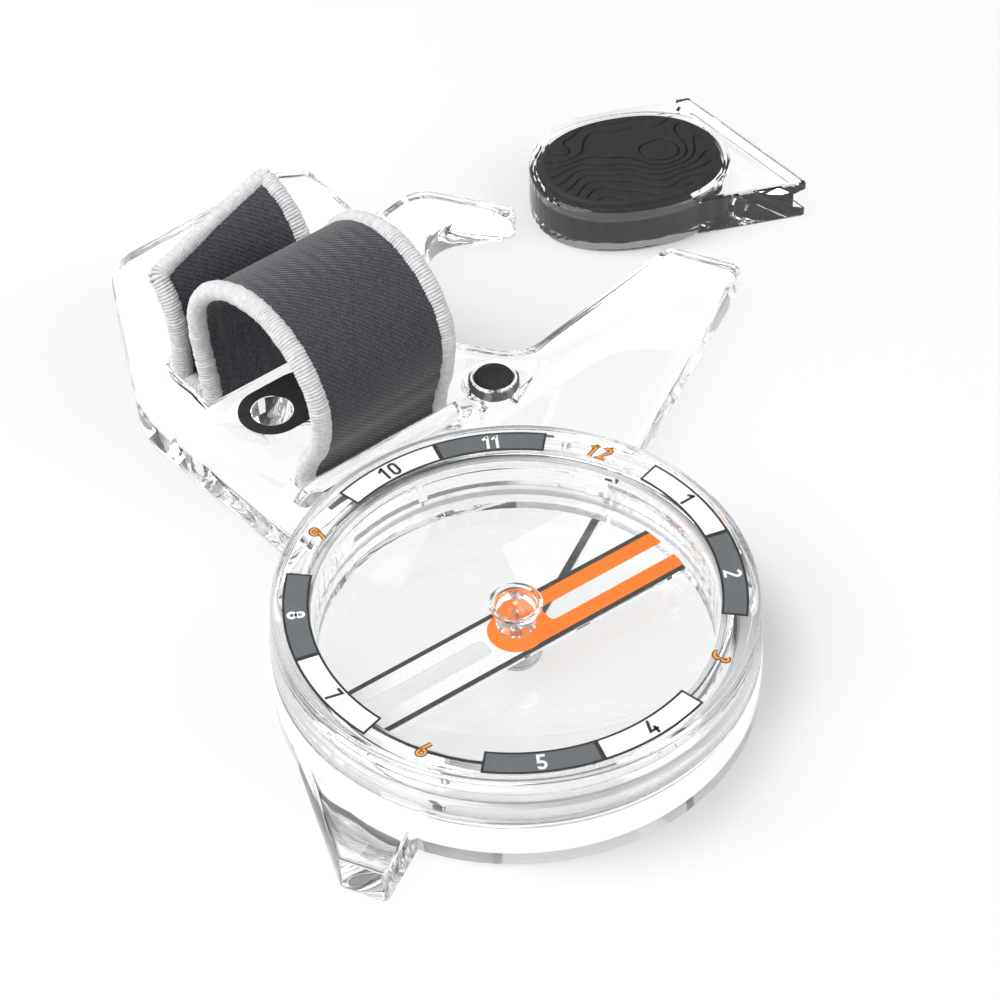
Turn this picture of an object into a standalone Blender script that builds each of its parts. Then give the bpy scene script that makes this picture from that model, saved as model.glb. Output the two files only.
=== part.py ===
"""Orienteering thumb compass with a rotating capsule, a woven thumb strap and a loose thumb rest.

The origin is on the capsule's axis, at the height of the table. +Y is the direction of travel
(12 o'clock on the hour ring), +X is 3 o'clock and +Z is up. Sizes are in millimetres and are
turned into metres where meshes are made.
"""

from math import atan2, cos, pi, radians, sin, tan

import bmesh
import bpy
from mathutils import Matrix, Vector

MM = 0.001
GAP = 0.3                       # clearance between neighbouring solids

# Hour ring and capsule
RING_OUTER = 24.0               # printed hour ring, outer radius
TOP = 12.5                      # top of the capsule above the table
BEZEL_RADIUS = 25.3
BEZEL_BOTTOM = 9.1
BEZEL_LEDGE = 11.9              # height of the ledge that carries the hour ring
CUP_INNER = 20.9                # inside of the capsule's wall
CUP_OUTER = 22.1
CUP_FLOOR = 2.7                 # underside of the capsule
CUP_FLANGE = 24.6
CUP_FLANGE_TOP = 4.4
CUP_RIM = 10.2
LENS_BOTTOM = 11.4
LENS_TOP = 11.9
FILLER_ANGLE = 245.0            # filler plug, from +X
FILLER_HEIGHT = 10.5
POST_RADIUS = 1.9
POST_FOOT = 4.0
POST_TOP = 4.7
POST_RING = (2.2, 2.8)          # inner and outer radius of the clear ring round the post
PIN_RADIUS = 0.3
PIN_TOP = 9.35
ROUND_STEPS = 64                # facets round a turned piece

# Base
SEAT_RADIUS = 25.7
SEAT_TOP = 5.3
POCKET_RADIUS = 24.9
POCKET_FLOOR = 1.8
PLATE_BOTTOM = 0.9
PLATE_TOP = 5.2
PLATE_EDGE = 1.0                # rounding of the plate's edges
TAIL_BOTTOM = 0.2
RETAINER_INNER = 22.5
RETAINER_OUTER = 25.6
RETAINER_BOTTOM = 5.6
RETAINER_TOP = 8.8
DRAG_INNER = 22.6
DRAG_OUTER = 24.4
DRAG_BOTTOM = 4.7
LINE_HALF = 0.4                 # half the width of a direction line
LINE_BOTTOM = 2.1
LINE_TOP = 2.4
STUD = (-18.2, 35.6)
STUD_RADIUS = 2.15
STUD_TOP = 6.5
COLLAR_FOOT = 3.4               # radii of the cone round the stud
COLLAR_RIM = 2.85
COLLAR_TOP = 6.1
HOLE_RADIUS = 2.35
LANYARD_HOLE = (-39.3, 21.6)

# Needle
BLADE_WIDTH = 6.9
BLADE_REACH = 19.5
BLADE_BOTTOM = 5.9
BLADE_THICK = 0.4
FILM_THICK = 0.2
HUB_RADIUS = 2.2
HUB_FLANGE = 2.85
HUB_BOTTOM = 7.1
HUB_TOP = 11.1
EDGE_LINE = 0.55                # width of the dark line along each side
SLOT_HALF = 1.05                # half the width of the clear slot between the stripes
DISC_REACH = 3.0                # the stripes start this far from the hub's centre
MAGNET_BOTTOM = 5.0
MAGNET_TOP = 5.6
NEEDLE_ANGLE = -30.7            # needle's bearing at rest, degrees about +Z from +Y

# Strap: its slots run along a line at this angle from +X
STRAP_ANGLE = 62.0
STRAP_WIDTH = 19.6
STRAP_THICK = 1.2
STRAP_CORNER = (-46.6, 20.9)    # near end of the middle slot
SLOT_END = 0.9                  # a slot runs this far past the strap's edges
TAIL_SLOT = (-8.0, -4.6)        # slots, as ranges across the strap
MIDDLE_SLOT = (-2.1, 0.7)
FRONT_SLOT = (16.1, 18.5)
CHANNEL_TOP = 2.6               # the strap runs under the bar below this height
RIB_ACROSS = 20.05              # round bar in front of the front slot
RIB_RADIUS = 1.1
RIB_HEIGHT = 6.1
TAIL_NEAR = 12.0                # length of the free tail on its near and far side
TAIL_FAR = 17.6
TAPER = 0.085                   # the loop narrows across by this share towards the far side

# Thumb rest
REST_CENTRE = (-20.6, 76.6)     # centre of its round end
REST_ANGLE = 37.5
REST_RADIUS = 9.85
REST_END_NEAR = 21.9            # corners of its slanted end face
REST_END_FAR = 12.7
REST_TOP = 5.5
REST_CUP = (2.0, -1.4)          # centre of its oval cup, in its own directions
CUP_AXES = (12.3, 9.5)
CUP_TOP = 6.3
CUP_WALL = 0.8
PAD_BOTTOM = 4.5
PAD_TOP = 6.9
CORE_BOTTOM = 1.2
CORE_INSET = 2.4                # the core stops this far inside the cup's outline

PARTS = "thumb_compass"
CUTTERS = "cutters"


# ------------------------------------------------------------------ helpers

def clear_scene():
    for obj in list(bpy.data.objects):
        bpy.data.objects.remove(obj, do_unlink=True)


def collection(name):
    made = bpy.data.collections.new(name)
    bpy.context.scene.collection.children.link(made)
    return made


def material(name, color, roughness, metallic=0.0, transmission=0.0):
    made = bpy.data.materials.new(name)
    made.use_nodes = True
    shader = made.node_tree.nodes["Principled BSDF"]
    shader.inputs["Base Color"].default_value = (*color, 1.0)
    shader.inputs["Roughness"].default_value = roughness
    shader.inputs["Metallic"].default_value = metallic
    shader.inputs["Transmission Weight"].default_value = transmission
    made.diffuse_color = (*color, 1.0)
    return made


def add_mesh(name, bm, where, mat=None):
    mesh = bpy.data.meshes.new(name)
    bm.to_mesh(mesh)
    bm.free()
    obj = bpy.data.objects.new(name, mesh)
    bpy.data.collections[where].objects.link(obj)
    if mat:
        mesh.materials.append(mat)
    if where == CUTTERS:
        obj.hide_render = True
        obj.display_type = "WIRE"
    return obj


def smooth(obj, angle=35.0):
    obj.data.shade_smooth()
    obj.data.set_sharp_from_angle(angle=radians(angle))


def rounded(corners, steps=6):
    """Outline through (x, y, radius) corners, with an arc at each corner that has a radius."""
    outline = []
    for i, (x, y, radius) in enumerate(corners):
        corner = Vector((x, y))
        before = Vector(corners[i - 1][:2])
        after = Vector(corners[(i + 1) % len(corners)][:2])
        if radius <= 0:
            outline.append(corner)
            continue
        back = (before - corner).normalized()
        ahead = (after - corner).normalized()
        half = back.angle(ahead) / 2
        centre = corner + (back + ahead).normalized() * (radius / sin(half))
        start = corner + back * (radius / tan(half)) - centre
        end = corner + ahead * (radius / tan(half)) - centre
        first = atan2(start.y, start.x)
        turn = (atan2(end.y, end.x) - first + pi) % (2 * pi) - pi
        for k in range(steps + 1):
            a = first + turn * k / steps
            outline.append(centre + Vector((cos(a), sin(a))) * radius)
    return outline


def oval(a, b, steps=56):
    """Superellipse outline, a little fuller than an ellipse."""
    points = []
    for k in range(steps):
        t = 2 * pi * k / steps
        x = a * abs(cos(t)) ** 0.9 * (1 if cos(t) >= 0 else -1)
        y = b * abs(sin(t)) ** 0.9 * (1 if sin(t) >= 0 else -1)
        points.append(Vector((x, y)))
    return points


def slab_mesh(outline, bottom, top):
    """Closed prism of an outline between two heights."""
    bm = bmesh.new()
    ring = [bm.verts.new((p.x * MM, p.y * MM, bottom * MM)) for p in outline]
    face = bm.faces.new(ring)
    lifted = bmesh.ops.extrude_face_region(bm, geom=[face])
    moved = [v for v in lifted["geom"] if isinstance(v, bmesh.types.BMVert)]
    bmesh.ops.translate(bm, verts=moved, vec=(0, 0, (top - bottom) * MM))
    bmesh.ops.recalc_face_normals(bm, faces=bm.faces)
    return bm


def slab(name, outline, bottom, top, where, mat=None, edge=0.0, segments=2):
    obj = add_mesh(name, slab_mesh(outline, bottom, top), where, mat)
    if edge:
        bevel = obj.modifiers.new("edges", "BEVEL")
        bevel.width = edge * MM
        bevel.segments = segments
        bevel.limit_method = "ANGLE"
        bevel.angle_limit = radians(50)
    return obj


def turned(name, profile, where, mat=None, steps=ROUND_STEPS):
    """Closed (radius, height) profile turned about +Z; it runs down the outer side first."""
    bm = bmesh.new()
    verts = [bm.verts.new((r * MM, 0, z * MM)) for r, z in profile]
    closed = min(r for r, z in profile) > 0
    for a, b in zip(verts, verts[1:]):
        bm.edges.new((a, b))
    if closed:
        bm.edges.new((verts[-1], verts[0]))
    obj = add_mesh(name, bm, where, mat)
    screw = obj.modifiers.new("turn", "SCREW")
    screw.axis = "Z"
    screw.steps = steps
    screw.render_steps = steps
    screw.use_merge_vertices = True
    screw.merge_threshold = 0.00001
    screw.use_smooth_shade = True
    return obj


def cylinder(name, radius, bottom, top, where, mat=None, centre=(0, 0), steps=48, tip=None):
    bm = bmesh.new()
    bmesh.ops.create_cone(bm, cap_ends=True, segments=steps, radius1=radius * MM,
                          radius2=(radius if tip is None else tip) * MM, depth=(top - bottom) * MM)
    shift = Vector((centre[0], centre[1], (bottom + top) / 2)) * MM
    bmesh.ops.translate(bm, verts=bm.verts, vec=shift)
    return add_mesh(name, bm, where, mat)


def box(name, low, high, where, mat=None, turn=0.0, about=(0, 0)):
    """Box between two corners, then turned about a vertical line through a point."""
    bm = bmesh.new()
    bmesh.ops.create_cube(bm, size=1.0)
    size = Vector(high) - Vector(low)
    middle = (Vector(high) + Vector(low)) / 2
    bmesh.ops.scale(bm, vec=size * MM, verts=bm.verts)
    bmesh.ops.translate(bm, vec=middle * MM, verts=bm.verts)
    if turn:
        spin = Matrix.Rotation(radians(turn), 3, "Z")
        bmesh.ops.rotate(bm, cent=(0, 0, 0), matrix=spin, verts=bm.verts)
        bmesh.ops.translate(bm, vec=Vector((*about, 0)) * MM, verts=bm.verts)
    return add_mesh(name, bm, where, mat)


def boolean(obj, cutter, operation="DIFFERENCE"):
    cut = obj.modifiers.new(cutter.name, "BOOLEAN")
    cut.object = cutter
    cut.operation = operation
    cut.solver = "EXACT"


def bake(obj):
    """Replace an object's mesh by its evaluated mesh, and drop its modifiers."""
    bpy.context.view_layer.update()
    graph = bpy.context.evaluated_depsgraph_get()
    mesh = bpy.data.meshes.new_from_object(obj.evaluated_get(graph))
    bm = bmesh.new()
    bm.from_mesh(mesh)
    bmesh.ops.remove_doubles(bm, verts=bm.verts, dist=0.000002)
    bmesh.ops.dissolve_degenerate(bm, edges=bm.edges, dist=0.000002)
    bm.to_mesh(mesh)
    bm.free()
    obj.modifiers.clear()
    obj.data = mesh


# ------------------------------------------------------------------ base

def strap_frame():
    """Directions along the strap's width and across it, from the middle slot's near end."""
    angle = radians(STRAP_ANGLE)
    along = Vector((cos(angle), sin(angle)))
    across = Vector((sin(angle), -cos(angle)))
    return Vector(STRAP_CORNER), along, across


def strap_box(name, width_range, across_range, heights, where=CUTTERS):
    """Box in the strap's own directions."""
    low = (width_range[0], -across_range[1], heights[0])
    high = (width_range[1], -across_range[0], heights[1])
    return box(name, low, high, where, turn=STRAP_ANGLE, about=STRAP_CORNER)


def plate_outline():
    """Nose, thumb hollow, horn and strap lobe, anticlockwise from inside the capsule seat."""
    return rounded([
        (0.8, 12.0, 0), (0.8, 65.5, 1.15), (-8.8, 65.5, 1.3),       # nose
        (-17.4, 41.4, 4.5), (-31.0, 39.8, 8.5),                      # thumb hollow
        (-35.9, 57.8, 4.5), (-27.4, 63.2, 1.2), (-28.4, 65.2, 1.2),  # horn
        (-41.2, 63.8, 4.5), (-43.6, 56.2, 2.2),                      # notch behind the horn
        (-54.4, 62.2, 1.6), (-58.0, 60.2, 1.6),                      # far corner of the lobe
        (-69.0, 37.2, 6.0), (-53.0, 15.5, 11.0), (-19.4, 0.1, 0),    # near side of the lobe
    ])


def tail_outline():
    reach = SEAT_RADIUS * 0.70
    return rounded([(-reach, -reach, 0), (-4.9, -32.9, 0.6), (0.3, -32.9, 0.6), (0.3, -20.0, 0),
                    (-12.0, -12.0, 0)], steps=4)


def build_baseplate(mat):
    plate = turned("baseplate", [(0, SEAT_TOP), (SEAT_RADIUS - 0.4, SEAT_TOP), (SEAT_RADIUS, SEAT_TOP - 0.4),
                                 (SEAT_RADIUS, 0.5), (SEAT_RADIUS - 0.5, 0), (0, 0)], PARTS, mat, steps=96)
    wing = slab("wing", plate_outline(), PLATE_BOTTOM, PLATE_TOP, CUTTERS, edge=PLATE_EDGE, segments=3)
    tail = slab("tail", tail_outline(), TAIL_BOTTOM, PLATE_TOP - 0.1, CUTTERS, edge=0.4)
    collar = cylinder("stud_boss", COLLAR_FOOT, 3.0, COLLAR_TOP, CUTTERS, centre=STUD, tip=COLLAR_RIM)
    rib = strap_rib()
    for extra in (wing, tail, collar, rib):
        boolean(plate, extra, "UNION")
    below, above = -1.0, 8.0
    cuts = [cylinder("pocket_cut", POCKET_RADIUS, POCKET_FLOOR, above, CUTTERS, steps=96),
            cylinder("stud_cut", STUD_RADIUS + GAP, below, above, CUTTERS, centre=STUD),
            cylinder("lanyard_cut", HOLE_RADIUS, below, above, CUTTERS, centre=LANYARD_HOLE)]
    width = (-SLOT_END, STRAP_WIDTH + SLOT_END)
    for name, across in (("tail_slot", TAIL_SLOT), ("middle_slot", MIDDLE_SLOT), ("front_slot", FRONT_SLOT)):
        cuts.append(strap_box(name, width, across, (below, above)))
    step = 0.01                     # keeps the channel's walls off the slots' walls
    cuts.append(strap_box("channel", (width[0] - step, width[1] + step),
                          (TAIL_SLOT[0] - step, MIDDLE_SLOT[1] + step), (below, CHANNEL_TOP)))
    for cut in cuts:
        boolean(plate, cut)
    bake(plate)
    smooth(plate, 40)
    return plate


def strap_rib():
    """Round bar moulded on the plate in front of the front slot."""
    corner, along, across = strap_frame()
    curve = bpy.data.curves.new("rib", "CURVE")
    curve.dimensions = "3D"
    curve.bevel_depth = RIB_RADIUS * MM
    curve.bevel_resolution = 3
    curve.use_fill_caps = True
    spline = curve.splines.new("POLY")
    route = [(-1.6, 3.4), (-1.6, 5.2), (-0.9, 5.95), (0.2, RIB_HEIGHT), (STRAP_WIDTH, RIB_HEIGHT),
             (STRAP_WIDTH + 1.0, 5.8), (STRAP_WIDTH + 1.5, 5.0), (STRAP_WIDTH + 1.5, 3.4)]
    spline.points.add(len(route) - 1)
    for point, (width, height) in zip(spline.points, route):
        flat = corner + along * width + across * RIB_ACROSS
        point.co = (flat.x * MM, flat.y * MM, height * MM, 1)
    obj = bpy.data.objects.new("rib_curve", curve)
    bpy.data.collections[CUTTERS].objects.link(obj)
    bpy.context.view_layer.update()
    graph = bpy.context.evaluated_depsgraph_get()
    mesh = bpy.data.meshes.new_from_object(obj.evaluated_get(graph))
    bm = bmesh.new()
    bm.from_mesh(mesh)
    bmesh.ops.remove_doubles(bm, verts=bm.verts, dist=0.00001)
    bmesh.ops.recalc_face_normals(bm, faces=bm.faces)
    bpy.data.objects.remove(obj)
    return add_mesh("rib", bm, CUTTERS)


def build_base(mats):
    build_baseplate(mats["clear"])
    turned("retaining_ring", [(RETAINER_INNER, RETAINER_TOP), (RETAINER_OUTER - 0.7, RETAINER_TOP),
                              (RETAINER_OUTER, RETAINER_TOP - 0.5), (RETAINER_OUTER, RETAINER_BOTTOM),
                              (RETAINER_INNER, RETAINER_BOTTOM)], PARTS, mats["clear"])
    drag_top = RETAINER_BOTTOM - 0.4
    turned("drag_ring", [(DRAG_INNER, drag_top), (DRAG_OUTER, drag_top), (DRAG_OUTER, DRAG_BOTTOM),
                         (DRAG_INNER, DRAG_BOTTOM)], PARTS, mats["drag"], steps=48)
    for name, near, far in (("direction_line_front", 4.0, 22.8), ("direction_line_rear", -24.3, -17.4)):
        box(name, (-LINE_HALF, near, LINE_BOTTOM), (LINE_HALF, far, LINE_TOP), PARTS, mats["ink"])
    stud = turned("rubber_stud", [(0, STUD_TOP), (STUD_RADIUS - 0.6, STUD_TOP - 0.05),
                                  (STUD_RADIUS - 0.2, STUD_TOP - 0.25), (STUD_RADIUS, STUD_TOP - 0.6),
                                  (STUD_RADIUS, 0.3), (STUD_RADIUS - 0.3, 0), (0, 0)],
                  PARTS, mats["rubber"], steps=40)
    stud.location = (STUD[0] * MM, STUD[1] * MM, 0)


# ------------------------------------------------------------------ strap

def smooth_path(points, per_span=4):
    """Catmull-Rom curve through the points."""
    path = []
    for i in range(len(points) - 1):
        a = Vector(points[max(i - 1, 0)])
        b = Vector(points[i])
        c = Vector(points[i + 1])
        d = Vector(points[min(i + 2, len(points) - 1)])
        for k in range(per_span):
            t = k / per_span
            path.append(0.5 * ((2 * b) + (c - a) * t + (2 * a - 5 * b + 4 * c - d) * t ** 2
                               + (3 * b - 3 * c + d - a) * t ** 3))
    path.append(Vector(points[-1]))
    return path


def strap_route():
    """Middle of the strap as (across, height): front slot, thumb loop and under the bar."""
    return smooth_path([
        (17.2, 1.9), (17.2, 2.9), (17.3, 4.6), (17.35, 6.4), (18.4, 8.9), (20.3, 12.0), (21.2, 15.6),
        (20.6, 19.6), (17.6, 23.3), (13.0, 25.3), (8.4, 25.2), (4.0, 23.6), (0.2, 20.7), (-2.2, 16.9),
        (-2.4, 12.6), (-1.7, 8.6), (-1.1, 5.6), (-0.9, 3.4), (-1.6, 1.85), (-3.4, 1.45), (-5.6, 1.75),
        (-6.7, 3.1), (-6.9, 5.0)])


def tail_route():
    """Middle of the free tail, which rises from its slot and curls outwards."""
    return smooth_path([(-6.9, 5.0), (-6.85, 8.0), (-7.1, 11.0), (-8.0, 13.6), (-9.6, 15.8),
                        (-12.0, 17.3), (-16.5, 18.3)])


def along_path(path, distance):
    """Point at a distance along a path."""
    for a, b in zip(path, path[1:]):
        length = (b - a).length
        if distance <= length:
            return a.lerp(b, distance / length)
        distance -= length
    return path[-1]


def build_strap(mat):
    corner, along, across = strap_frame()
    route = strap_route()
    tail = tail_route()
    tail_rows = 7
    columns = 6
    bm = bmesh.new()
    grid = []
    for row in range(len(route) + tail_rows):
        line = []
        for col in range(columns + 1):
            width = STRAP_WIDTH * col / columns
            if row < len(route):
                flat, height = route[row]
                lift = min(max((height - 7.0) / 6.0, 0.0), 1.0)
                flat -= TAPER * lift * max(flat, 0.0) * col / columns
            else:
                reach = TAIL_NEAR + (TAIL_FAR - TAIL_NEAR) * col / columns
                flat, height = along_path(tail, reach * (row - len(route) + 1) / tail_rows)
            place = corner + along * width + across * flat
            line.append(bm.verts.new((place.x * MM, place.y * MM, height * MM)))
        grid.append(line)
    for lower, upper in zip(grid, grid[1:]):
        for col in range(columns):
            bm.faces.new((lower[col], lower[col + 1], upper[col + 1], upper[col]))
    bmesh.ops.recalc_face_normals(bm, faces=bm.faces)
    strap = add_mesh("thumb_strap", bm, PARTS, mat)
    thick = strap.modifiers.new("webbing", "SOLIDIFY")
    thick.thickness = STRAP_THICK * MM
    thick.offset = 0
    thick.use_even_offset = True
    strap.data.shade_smooth()
    return strap


# ------------------------------------------------------------------ capsule

def build_capsule(mats):
    clear = mats["clear"]
    film = TOP - GAP
    made = [
        turned("capsule_cup", [(0, CUP_FLOOR + 1.0), (CUP_INNER, CUP_FLOOR + 1.0), (CUP_INNER, CUP_RIM),
                               (CUP_OUTER, CUP_RIM), (CUP_OUTER, CUP_FLANGE_TOP),
                               (CUP_FLANGE, CUP_FLANGE_TOP), (CUP_FLANGE, CUP_FLOOR), (0, CUP_FLOOR)],
               PARTS, clear),
        turned("lens_seal", [(21.75, 10.9), (21.9, 10.7), (21.75, 10.5), (21.35, 10.5), (21.2, 10.7),
                             (21.35, 10.9)], PARTS, mats["seal"], steps=48),
        turned("capsule_lens", [(0, LENS_TOP), (CUP_OUTER, LENS_TOP), (CUP_OUTER, LENS_BOTTOM),
                                (0, LENS_BOTTOM)], PARTS, clear),
        turned("hour_ring", [(CUP_INNER, TOP), (RING_OUTER, TOP), (RING_OUTER, film), (CUP_INNER, film)],
               PARTS, mats["print"]),
        turned("pivot_post", [(0, POST_TOP), (POST_RADIUS - 0.3, POST_TOP), (POST_RADIUS, POST_TOP - 0.3),
                              (POST_RADIUS, POST_FOOT), (0, POST_FOOT)], PARTS, mats["post"], steps=40),
        turned("post_collar", [(POST_RING[0], POST_TOP), (POST_RING[1] - 0.15, POST_TOP),
                               (POST_RING[1], POST_TOP - 0.15), (POST_RING[1], POST_FOOT),
                               (POST_RING[0], POST_FOOT)], PARTS, clear, steps=40),
        turned("pivot_pin", [(0, PIN_TOP), (PIN_RADIUS, 8.6), (PIN_RADIUS, POST_TOP + GAP),
                             (0, POST_TOP + GAP)], PARTS, mats["steel"], steps=24),
    ]
    recess = RING_OUTER + 0.4
    bezel = turned("grip_bezel", [(recess, TOP), (BEZEL_RADIUS - 0.35, TOP), (BEZEL_RADIUS, TOP - 0.35),
                                  (BEZEL_RADIUS, BEZEL_BOTTOM + 0.4), (BEZEL_RADIUS - 0.4, BEZEL_BOTTOM),
                                  (CUP_OUTER + GAP, BEZEL_BOTTOM), (CUP_OUTER + GAP, BEZEL_LEDGE),
                                  (recess, BEZEL_LEDGE)], PARTS, clear)
    angle = radians(FILLER_ANGLE)
    outward = Vector((cos(angle), sin(angle), 0))
    aim = outward.to_track_quat("Z", "Y").to_matrix().to_4x4()
    for name, radius, near, far, where in (("filler_cut", 1.15, 20.0, 27.0, CUTTERS),
                                           ("filler_plug", 0.85, 22.7, 25.0, PARTS)):
        rod = cylinder(name, radius, near, far, where, clear if where == PARTS else None, steps=20)
        rod.data.transform(aim)
        rod.data.transform(Matrix.Translation((0, 0, FILLER_HEIGHT * MM)))
        if where == CUTTERS:
            boolean(bezel, rod)
        else:
            made.append(rod)
    bake(bezel)
    smooth(bezel, 40)
    made.append(bezel)
    hold(made, "capsule_axis", (0, 0, 0), 0)


def hold(objects, name, place, turn):
    """Parent the objects to an empty on a joint axis."""
    empty = bpy.data.objects.new(name, None)
    bpy.data.collections[PARTS].objects.link(empty)
    empty.location = Vector(place) * MM
    empty.rotation_euler = (0, 0, radians(turn))
    for obj in objects:
        obj.parent = empty


# ------------------------------------------------------------------ needle, made along +Y

def stripe(side, inner, outer, near, far):
    """Outline of a stripe of the needle on one side of its middle line."""
    return [Vector((side * inner, near)), Vector((side * outer, near)),
            Vector((side * outer, far)), Vector((side * inner, far))]


def build_needle(mats):
    half = BLADE_WIDTH / 2
    blade_top = BLADE_BOTTOM + BLADE_THICK
    film_low = blade_top + GAP
    film_high = film_low + FILM_THICK
    blade = slab("needle_blade", rounded([(half, -BLADE_REACH, 0.4), (half, BLADE_REACH, 0.4),
                                          (-half, BLADE_REACH, 0.4), (-half, -BLADE_REACH, 0.4)], steps=3),
                 BLADE_BOTTOM, blade_top, PARTS, mats["clear"])
    boolean(blade, cylinder("blade_cut", 1.3, BLADE_BOTTOM - 1, blade_top + 1, CUTTERS, steps=32))
    bake(blade)
    film = []
    inside = half - EDGE_LINE - GAP
    for side, word in ((-1, "left"), (1, "right")):
        bands = (("edge_line", half - EDGE_LINE, half, -BLADE_REACH, BLADE_REACH, "ink"),
                 ("north_stripe", SLOT_HALF, inside, DISC_REACH, BLADE_REACH, "orange"),
                 ("south_stripe", SLOT_HALF, inside, -BLADE_REACH, -DISC_REACH, "white"))
        for name, inner, outer, near, far, mat in bands:
            outline = stripe(side, inner, outer, near, far)
            film.append(slab(f"{name}_{word}", outline, film_low, film_high, PARTS, mats[mat]))
    film += [
        turned("hub_disc", [(2.5, film_high), (2.5, film_low), (1.3, film_low), (1.3, film_high)],
               PARTS, mats["orange"], steps=40),
        turned("ring_magnet", [(2.6, MAGNET_TOP), (2.6, MAGNET_BOTTOM), (1.5, MAGNET_BOTTOM),
                               (1.5, MAGNET_TOP)], PARTS, mats["magnet"], steps=40),
        turned("hub_cap", [(0, HUB_TOP), (HUB_FLANGE - 0.15, HUB_TOP), (HUB_FLANGE, HUB_TOP - 0.15),
                           (HUB_FLANGE, HUB_TOP - 0.4), (HUB_RADIUS, HUB_TOP - 0.5),
                           (HUB_RADIUS, HUB_BOTTOM), (1.1, HUB_BOTTOM), (1.1, 10.3), (0, 10.3)],
               PARTS, mats["clear"], steps=48),
        turned("jewel_bearing", [(0, 10.0), (0.75, 10.0), (0.75, 9.3), (0.6, 9.3), (0, 9.75)],
               PARTS, mats["jewel"], steps=24),
    ]
    hold([blade] + film, "needle_axis", (0, 0, 0), NEEDLE_ANGLE)


# ------------------------------------------------------------------ thumb rest, made along +X

def rest_outline():
    near = REST_RADIUS
    outline = [Vector((REST_END_NEAR, -near)), Vector((REST_END_FAR, near))]
    for k in range(17):
        a = pi / 2 + pi * k / 16
        outline.append(Vector((near * cos(a), near * sin(a))))
    return outline


def shifted(outline, place):
    return [p + Vector(place) for p in outline]


def build_rest(mats):
    plate = slab("rest_plate", rest_outline(), 0.0, REST_TOP, PARTS, mats["clear"], edge=0.35)
    long_half, short_half = CUP_AXES
    cup = slab("cup", shifted(oval(long_half, short_half), REST_CUP), 0.05, CUP_TOP, CUTTERS, edge=0.4)
    boolean(plate, cup, "UNION")
    inner = (long_half - CUP_WALL, short_half - CUP_WALL)
    recess = slab("pad_cut", shifted(oval(*inner), REST_CUP), PAD_BOTTOM - GAP, 9.0, CUTTERS)
    boolean(plate, recess)
    well = (long_half - CORE_INSET + 0.4, short_half - CORE_INSET + 0.4)
    pocket = slab("core_cut", shifted(oval(*well), REST_CUP), CORE_BOTTOM - GAP, PAD_BOTTOM, CUTTERS)
    boolean(plate, pocket)
    boolean(plate, rest_groove())
    bake(plate)
    smooth(plate, 40)
    side = CUP_WALL + GAP
    pad = slab("rest_pad", shifted(oval(long_half - side, short_half - side), REST_CUP), PAD_BOTTOM, PAD_TOP,
               PARTS, mats["rubber"], edge=0.45, segments=3)
    smooth(pad, 50)
    core = slab("rest_core", shifted(oval(long_half - CORE_INSET, short_half - CORE_INSET), REST_CUP),
                CORE_BOTTOM, PAD_BOTTOM - GAP, PARTS, mats["core"])
    hold([plate, pad, core], "rest_axis", (*REST_CENTRE, 0), REST_ANGLE)


def rest_groove():
    """Trapezium groove along the slanted end face."""
    near = Vector((REST_END_NEAR, -REST_RADIUS))
    far = Vector((REST_END_FAR, REST_RADIUS))
    along = (far - near).normalized()
    inward = Vector((-along.y, along.x))
    bm = bmesh.new()
    section = [(-1.0, 0.9), (1.5, 1.9), (1.5, 3.8), (-1.0, 4.8)]
    rings = []
    for base in (near - along * 3, far + along * 3):
        rings.append([bm.verts.new(((base + inward * depth).x * MM, (base + inward * depth).y * MM, z * MM))
                      for depth, z in section])
    bm.faces.new(rings[0])
    bm.faces.new(rings[1])
    for k in range(4):
        n = (k + 1) % 4
        bm.faces.new((rings[0][k], rings[0][n], rings[1][n], rings[1][k]))
    bmesh.ops.recalc_face_normals(bm, faces=bm.faces)
    return add_mesh("groove_cut", bm, CUTTERS)


def main():
    clear_scene()
    collection(PARTS)
    collection(CUTTERS)
    mats = {
        "clear": material("clear_acrylic", (0.93, 0.95, 0.96), 0.03, transmission=0.9),
        "drag": material("drag_silicone", (0.75, 0.77, 0.78), 0.4),
        "ink": material("black_ink", (0.03, 0.03, 0.03), 0.5),
        "rubber": material("dark_rubber", (0.035, 0.035, 0.037), 0.75),
        "webbing": material("woven_elastic", (0.06, 0.06, 0.075), 0.85),
        "seal": material("seal_rubber", (0.5, 0.51, 0.52), 0.5),
        "print": material("ring_print", (0.85, 0.85, 0.85), 0.45),
        "post": material("post_white", (0.88, 0.88, 0.88), 0.3),
        "steel": material("pin_steel", (0.6, 0.6, 0.6), 0.2, metallic=1.0),
        "orange": material("orange_paint", (1.0, 0.25, 0.03), 0.45),
        "white": material("white_paint", (0.9, 0.9, 0.9), 0.45),
        "magnet": material("magnet_grey", (0.3, 0.3, 0.31), 0.35, metallic=0.8),
        "jewel": material("jewel_ruby", (0.5, 0.02, 0.06), 0.1),
        "core": material("core_black", (0.02, 0.02, 0.02), 0.6),
    }
    build_base(mats)
    build_strap(mats["webbing"])
    build_capsule(mats)
    build_needle(mats)
    build_rest(mats)


main()
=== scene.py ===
"""Looks of the thumb compass: acrylic, printed hour ring, needle, woven strap and rubber pad."""

import random
from math import cos, exp, hypot, pi, radians, sin, sqrt

import bmesh
import bpy
from mathutils import Matrix, Vector


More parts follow.
